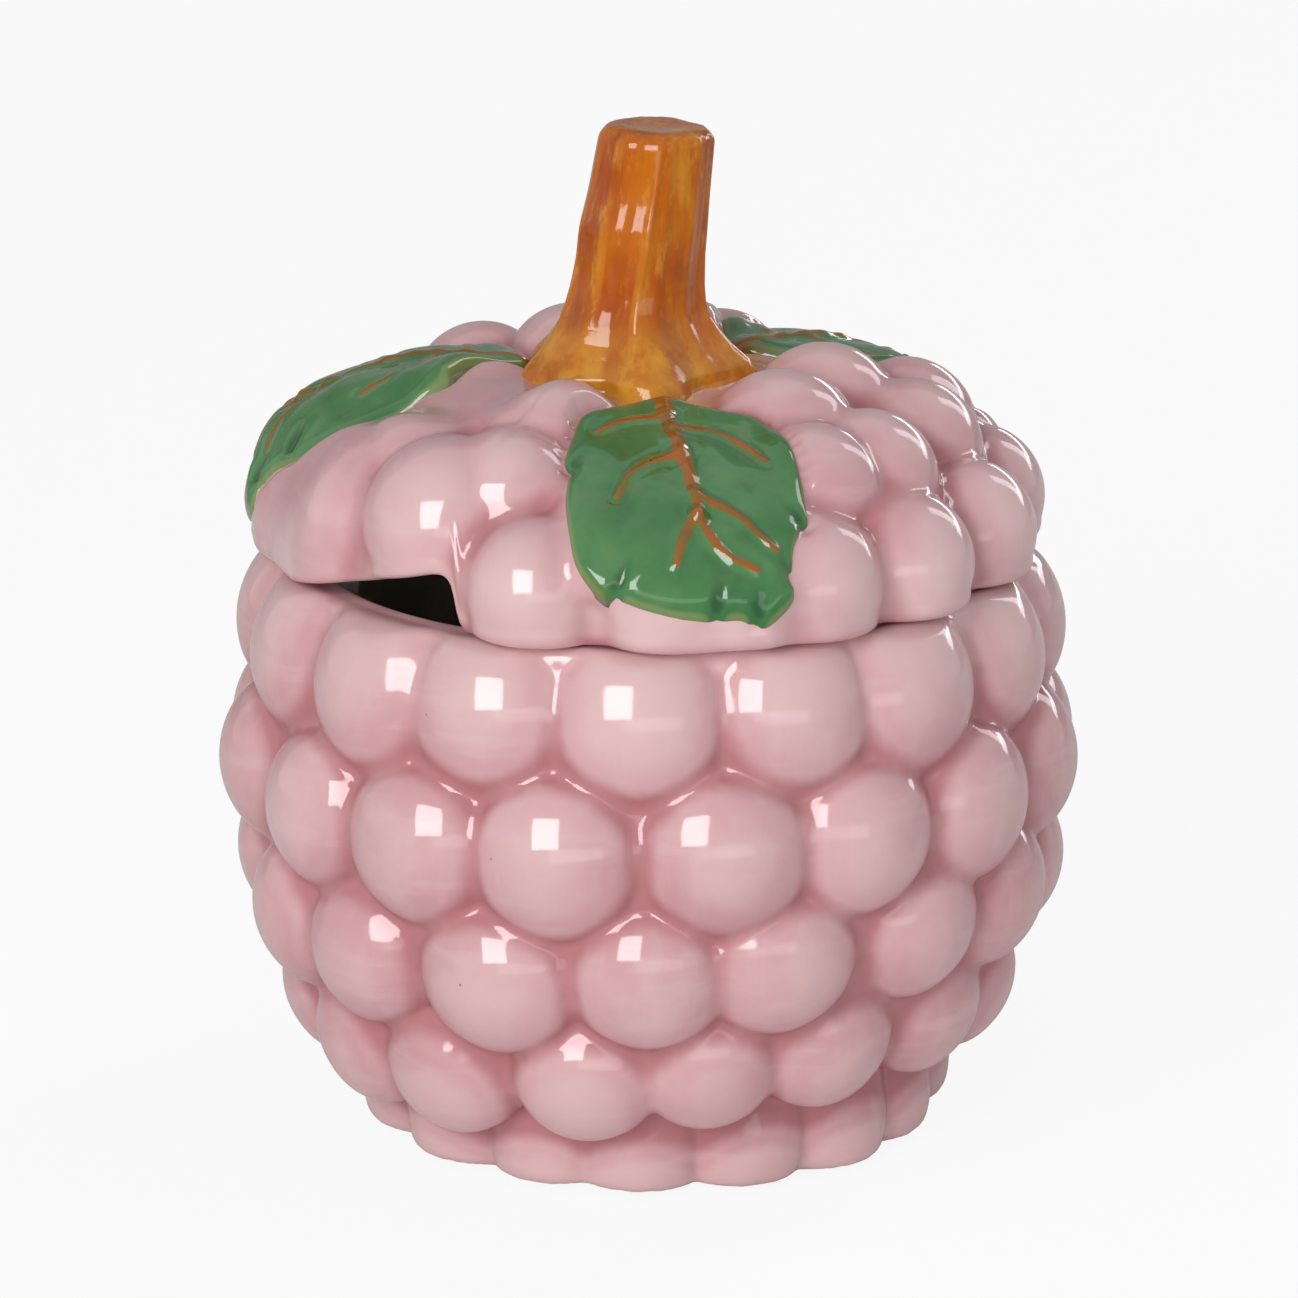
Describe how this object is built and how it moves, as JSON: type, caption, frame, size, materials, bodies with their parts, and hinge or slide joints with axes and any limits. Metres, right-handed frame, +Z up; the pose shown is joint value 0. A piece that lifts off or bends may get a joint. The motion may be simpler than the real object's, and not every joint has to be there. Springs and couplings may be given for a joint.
{
  "type": "lidded jam pot",
  "caption": "Glazed ceramic jam pot moulded as a plump raspberry, with a lift-off lid that has a spoon notch, a stem knob and moulded leaves.",
  "frame": {"origin": "middle of the foot ring, on the table", "axes": "+Z up along the pot's axis, -Y towards the front leaf, +X to the right seen from the front"},
  "size_m": [0.1089, 0.1083, 0.1286],
  "materials": {
    "pink_glaze": "glossy glaze, paler on the tops of the drupelets and deeper in the valleys",
    "white_glaze": "glossy clear glaze over pale clay, inside the pot and the lid",
    "amber_glaze": "glossy glaze, hand-brushed in amber and brown",
    "green_glaze": "glossy glaze with brushed ochre veins"
  },
  "bodies": {
    "pot": {"pot": "pink_glaze"},
    "lid": {"lid": "pink_glaze", "stem": "amber_glaze", "leaf_front": "green_glaze", "leaf_left": "green_glaze", "leaf_rear": "green_glaze"}
  },
  "joints": [
    {"name": "lid_lift", "type": "slide", "parent": "pot", "child": "lid", "axis": [0, 0, 1], "range_m": [0, 0.06]}
  ]
}
